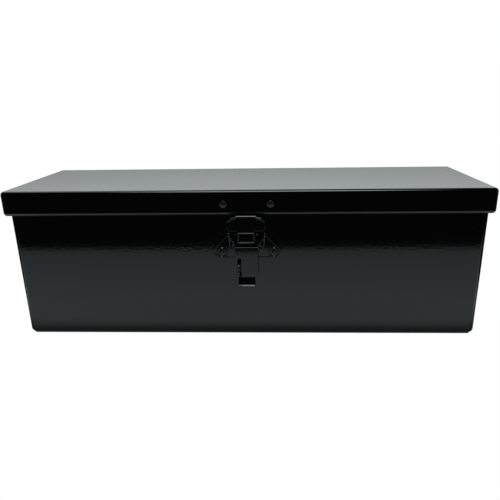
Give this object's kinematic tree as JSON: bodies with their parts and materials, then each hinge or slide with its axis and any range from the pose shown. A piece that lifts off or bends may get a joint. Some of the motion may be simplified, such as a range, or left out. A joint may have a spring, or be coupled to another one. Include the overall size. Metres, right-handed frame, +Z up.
{
  "type": "truck tool box",
  "caption": "Long low steel tool box with an overlapping hinged lid and a sprung snap hasp with a padlock eye at the front.",
  "frame": {"origin": "on the underside, centre of the body and of the four floor bolt holes", "axes": "+X to the right of someone facing the front, +Y to the back (hinge side), +Z up"},
  "size_m": [0.508, 0.1714, 0.1651],
  "materials": {
    "box_paint": "gloss powder coat",
    "lid_paint": "gloss powder coat",
    "hinge_paint": "gloss powder coat",
    "hinge_wire": "bright wire",
    "hinge_rivet_paint": "gloss powder coat",
    "hasp_paint": "gloss coat",
    "rivet_paint": "gloss coat",
    "latch_paint": "gloss coat",
    "zinc": "zinc plated",
    "lever_paint": "gloss coat",
    "pin_paint": "gloss coat",
    "spring_steel": "spring steel",
    "staple_paint": "gloss coat, worn edges"
  },
  "bodies": {
    "body": {"body_wrap": "box_paint", "end_panel_left": "box_paint", "end_panel_right": "box_paint", "hinge_body_leaf": "hinge_paint", "hinge_pin": "hinge_wire", "hinge_body_rivets": "hinge_rivet_paint", "latch_base": "latch_paint", "base_rivet_left": "rivet_paint", "base_rivet_right": "rivet_paint", "base_rivet_washers": "zinc", "lever_pin": "pin_paint", "lever_spring": "spring_steel", "spring_rivet": "zinc", "padlock_staple": "staple_paint"},
    "lid": {"lid_shell": "lid_paint", "hinge_lid_leaf": "hinge_paint", "hinge_lid_rivets": "hinge_rivet_paint", "hasp_strap": "hasp_paint", "hasp_rivet_left": "rivet_paint", "hasp_rivet_right": "rivet_paint"},
    "lever": {"latch_lever": "lever_paint"}
  },
  "joints": [
    {"name": "lid_hinge", "type": "hinge", "parent": "body", "child": "lid", "pos_m": [0, 0.0788, 0.1383], "axis": [-1, 0, 0], "range_deg": [0, 180]},
    {"name": "lever_pivot", "type": "hinge", "parent": "body", "child": "lever", "pos_m": [0.0007, -0.078, 0.1034], "axis": [-1, 0, 0], "range_deg": [0, 17], "stiffness_Nm_per_rad": 0.06, "springref_deg": -17.19, "deforming": ["lever_spring"]}
  ]
}
